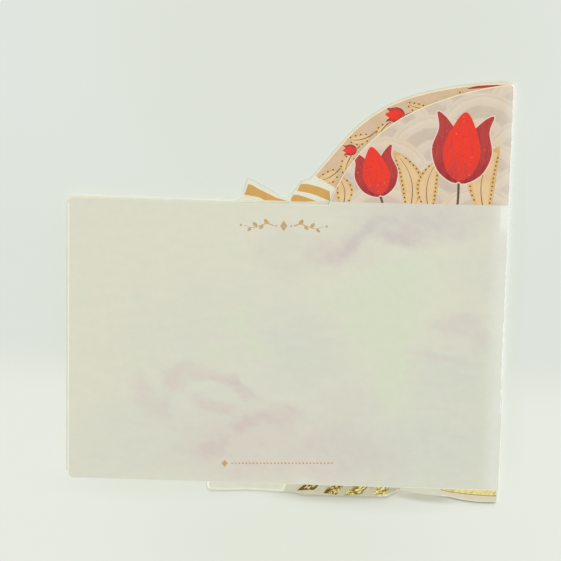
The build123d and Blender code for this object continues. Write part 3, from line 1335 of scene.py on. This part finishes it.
def foil_material(name, crumple):
    """Hot-stamped foil, crumpled or smooth, with painted dark reflections: dull and brown at its
    left, bright towards the fold.
    """
    _, colours = chosen()
    net = Net(name)
    flat = net.uv()
    facets = net.node("ShaderNodeTexVoronoi")
    net.put(facets.inputs["Vector"], net.mapped(flat, turn=0.5, scale=(1.0, 0.45, 1.0)))
    facets.inputs["Scale"].default_value = 62.0
    tone = net.axis(facets.outputs["Color"], 0)
    creases = net.noise(net.mapped(flat, turn=0.7, scale=(1.0, 0.4, 1.0)), 85.0, 3.0, 0.5, 1.0)
    tone = net.math("ADD", net.product(tone, 0.6), net.fade(creases, 0.35, 0.65, 0.0, 0.55))
    x = net.axis(flat, 0)
    # Painted dark reflection: the base colour darkens over facets and creases, most at the left
    worn = net.product(net.fade(x, -0.66, -0.4, 0.5, 0.22), crumple)
    dull = net.fade(net.math("SUBTRACT", tone, worn), 0.07, 0.57, 1.0, 0.0)
    dull = net.product(dull, 0.3 + 0.7 * crumple)
    dark_foil_tone = net.blend(net.fade(x, -0.56, -0.53), srgb(110, 86, 36), colours.foil_dark_reflection[:])
    colour = net.blend(dull, colours.foil[:], dark_foil_tone)
    net.put(net.shader.inputs["Base Color"], colour)
    net.shader.inputs["Metallic"].default_value = 1.0
    net.put(net.shader.inputs["Roughness"], net.fade(creases, 0.3, 0.7, 0.26, 0.42))
    fine = net.bump(net.noise(flat, 420.0, 2.0, 0.5), 0.3, 0.01 * MM)
    net.put(net.shader.inputs["Normal"], net.bump(creases, 0.5, 0.05 * MM, fine))
    return net.material


# The stage

# The sky's level, and the level that glossy foil mirrors
SKY_LEVEL = 0.24
SKY_IN_GLOSS = 0.8
# A soft sun, and the way from the card to it
LAMP_STRENGTH = 2.455
LAMP_SOFTNESS = math.radians(6)
LAMP_TOWARDS = (0.09, 0.335, 1.0)
# The camera that was fitted to the photo: its lens and its matrix, in the frame's metres
CAMERA_LENS = 216.11
CAMERA_PLACE = (
    (0.998054, -0.037294, 0.049972, 0.055156),
    (0.020962, 0.955454, 0.294396, 0.338247),
    (-0.058725, -0.292776, 0.954376, 1.087639),
    (0, 0, 0, 1),
)
# Half the floor's side, and how far it lies below the table plane, both in metres
FLOOR_REACH = 2.5
FLOOR_DEPTH = 0.02 * MM
# Where along Y, in metres, the floor passes from its far colour to the middle one, and to the near:
# painted light and shade, a touch darker about the card and lightest before it
FLOOR_STEPS = ((0.09, 0.0), (-0.02, -0.043))
# Soft shade on the floor about the card: centre on the floor, reach along and across in mm, turn in
# degrees, weight
FLOOR_SHADE = (
    (5, -92, 90, 38, 0, 0.7),
    (10, 88, 115, 80, 0, 0.75),
    (77, -45, 9, 32, 0, 0.45),
    (77, 12, 5, 60, 0, 0.4),
)
FLOOR_SHADE_SHARE = 0.55
# Deeper shade at the foot, in the same terms
FOOT_SHADE = (
    (17, -74.4, 26, 3.4, 0, 0.3),
    (49, -73.45, 16, 2.4, -5, 0.62),
    (30, -75.0, 44, 6.5, 0, 0.18),
    (-48, -73.0, 45, 8, 0, 0.09),
)
# Painted contact shadow where the board meets the floor: how far it reaches, and how dark the floor
# gets under the tab, in the thin line along the foot, and along the rear dome
CONTACT_REACH = 3.0 * MM
SKIRT_SHADE = 0.45
LINE_SHADE = 0.9
CROWN_SHADE = 0.28


def even_sky():
    """One pale level all round, and a brighter one for the foil to mirror."""
    world = bpy.data.worlds.new("even_sky")
    world.use_nodes = True
    tree = world.node_tree
    sky = tree.nodes["Background"]
    path = tree.nodes.new("ShaderNodeLightPath")
    level = tree.nodes.new("ShaderNodeMapRange")
    level.inputs["To Min"].default_value = SKY_LEVEL
    level.inputs["To Max"].default_value = SKY_IN_GLOSS
    tree.links.new(path.outputs["Is Glossy Ray"], level.inputs["Value"])
    tree.links.new(level.outputs[0], sky.inputs["Strength"])
    sky.inputs["Color"].default_value = (1, 1, 1, 1)
    return world


def soft_lamp():
    lamp = bpy.data.lights.new("soft_lamp", "SUN")
    lamp.energy = LAMP_STRENGTH
    lamp.angle = LAMP_SOFTNESS
    placed_lamp = bpy.data.objects.new("soft_lamp", lamp)
    placed_lamp.location = LAMP_TOWARDS
    placed_lamp.rotation_euler = (-Vector(LAMP_TOWARDS)).to_track_quat("-Z", "Y").to_euler()
    return placed_lamp


def floor_material(colours):
    """A plain pale floor in three tones, shaded about the card and where the board meets it."""
    net = Net("pale_floor")
    # x and y are in metres here
    where = net.node("ShaderNodeTexCoord").outputs["Object"]
    x, y = net.axis(where, 0), net.axis(where, 1)
    where = net.vector("SCALE", where, scale=1 / (FLAT_UNIT * MM))
    colour = net.blend(net.fade(y, *FLOOR_STEPS[0]), colours.floor[:], colours.floor_middle[:])
    colour = net.blend(net.fade(y, *FLOOR_STEPS[1]), colour, colours.floor_near[:])
    shade = net.product(clouds(net, where, FLOOR_SHADE), FLOOR_SHADE_SHARE)
    colour = net.blend(shade, colour, srgb(220, 224, 205))
    colour = net.blend(clouds(net, where, FOOT_SHADE), colour, srgb(182, 180, 156))
    # Painted contact shadow from ambient occlusion: under the tab, along the foot and along the
    # rear dome
    closed = net.node("ShaderNodeAmbientOcclusion")
    closed.inputs["Distance"].default_value = CONTACT_REACH
    closed = closed.outputs["AO"]
    skirt = net.product(
        net.fade(x, -0.008, 0.002),
        net.fade(x, 0.046, 0.037),
        net.fade(closed, 1.0, 0.9, 0.0, SKIRT_SHADE),
    )
    line = net.product(
        net.fade(x, -0.0263, -0.0245, 0.0, 0.4),
        net.fade(x, 0.037, 0.043, 1.0, 0.4),
        net.fade(x, 0.05, 0.06, 1.0, 6.0),
        net.fade(x, 0.0748, 0.073, 0.0, LINE_SHADE),
        net.fade(closed, 0.975, 0.88),
    )
    foot = net.product(net.fade(y, -0.0655, -0.0695), net.math("MAXIMUM", skirt, line))
    colour = net.blend(foot, colour, srgb(128, 124, 98))
    crown = net.product(
        net.fade(y, 0.0315, 0.0345),
        net.fade(x, 0.0746, 0.07),
        net.fade(closed, 0.92, 0.7, 0.0, CROWN_SHADE),
    )
    net.put(net.shader.inputs["Base Color"], net.blend(crown, colour, srgb(150, 130, 70)))
    net.shader.inputs["Roughness"].default_value = 0.9
    net.shader.inputs["Specular IOR Level"].default_value = 0.0
    return net.material


def pale_floor(colours):
    mesh = bpy.data.meshes.new("floor")
    corners = ((-1, -1), (1, -1), (1, 1), (-1, 1))
    corners = [(x * FLOOR_REACH, y * FLOOR_REACH, -FLOOR_DEPTH) for x, y in corners]
    mesh.from_pydata(corners, [], [(0, 1, 2, 3)])
    mesh.materials.append(floor_material(colours))
    return bpy.data.objects.new("floor", mesh)


def photo_camera():
    camera = bpy.data.cameras.new("camera")
    camera.lens = CAMERA_LENS
    camera.sensor_width = 36.0
    placed_camera = bpy.data.objects.new("camera", camera)
    placed_camera.matrix_world = Matrix(CAMERA_PLACE)
    return placed_camera


# Operators


def add_piece(mesh, name):
    piece = bpy.data.objects.new(name, mesh)
    bpy.context.scene.collection.objects.link(piece)
    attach(piece, BODY)
    return piece


class CARD_OT_stage(bpy.types.Operator):
    """Sets the floor, the soft lamp, the even sky and the camera that looks down on the card"""

    bl_idname = "card.stage"
    bl_label = "Stage"

    def execute(self, context):
        _, colours = chosen()
        scene = context.scene
        scene.view_settings.view_transform = "Standard"
        scene.world = even_sky()
        floor = pale_floor(colours)
        camera = photo_camera()
        for thing in (soft_lamp(), floor, camera):
            scene.collection.objects.link(thing)
        scene.camera = camera
        return {"FINISHED"}


class CARD_OT_sheet(bpy.types.Operator):
    """Prints, cuts and folds the sheet"""

    bl_idname = "card.sheet"
    bl_label = "Printed sheet"

    def execute(self, context):
        sizes, _ = chosen()
        piece = add_piece(build_sheet(sizes), "card_sheet")
        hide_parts(NODE)
        return {"FINISHED"}


class CARD_OT_foil(bpy.types.Operator):
    """Stamps the foil stripes on the tab and the foil edge on the plate rim"""

    bl_idname = "card.foil"
    bl_label = "Foil"

    def execute(self, context):
        add_piece(build_foil("foil_stripes", FOIL_STRIPES, 11, 1.0), "foil_stripes")
        rim = FOIL_RIM_EDGE + ((-0.6, 0.3), (-17.5, 0.3))
        add_piece(build_foil("foil_rim", (rim,), 12, 0.12), "foil_rim")
        return {"FINISHED"}


class CARD_PT_panel(bpy.types.Panel):
    """Lists the card's pieces, sizes and colours"""

    bl_label = "Folded greeting card"
    bl_idname = "CARD_PT_panel"
    bl_space_type = "VIEW_3D"
    bl_region_type = "UI"
    bl_category = "Card"

    def draw(self, context):
        for operator in STEPS:
            self.layout.operator(operator.bl_idname)
        for group in (context.scene.card_sizes, context.scene.card_colours):
            column = self.layout.column()
            for name in group.__annotations__:
                column.prop(group, name)


STEPS = (CARD_OT_stage, CARD_OT_sheet, CARD_OT_foil)
CLASSES = (CardSizes, CardColours, *STEPS, CARD_PT_panel)


def register():
    for made in CLASSES:
        bpy.utils.register_class(made)
    bpy.types.Scene.card_sizes = PointerProperty(type=CardSizes)
    bpy.types.Scene.card_colours = PointerProperty(type=CardColours)


def unregister():
    del bpy.types.Scene.card_colours
    del bpy.types.Scene.card_sizes
    for made in reversed(CLASSES):
        bpy.utils.unregister_class(made)


def main():
    register()
    for step in STEPS:
        group, name = step.bl_idname.split(".")
        getattr(getattr(bpy.ops, group), name)()


if __name__ == "__main__":
    main()
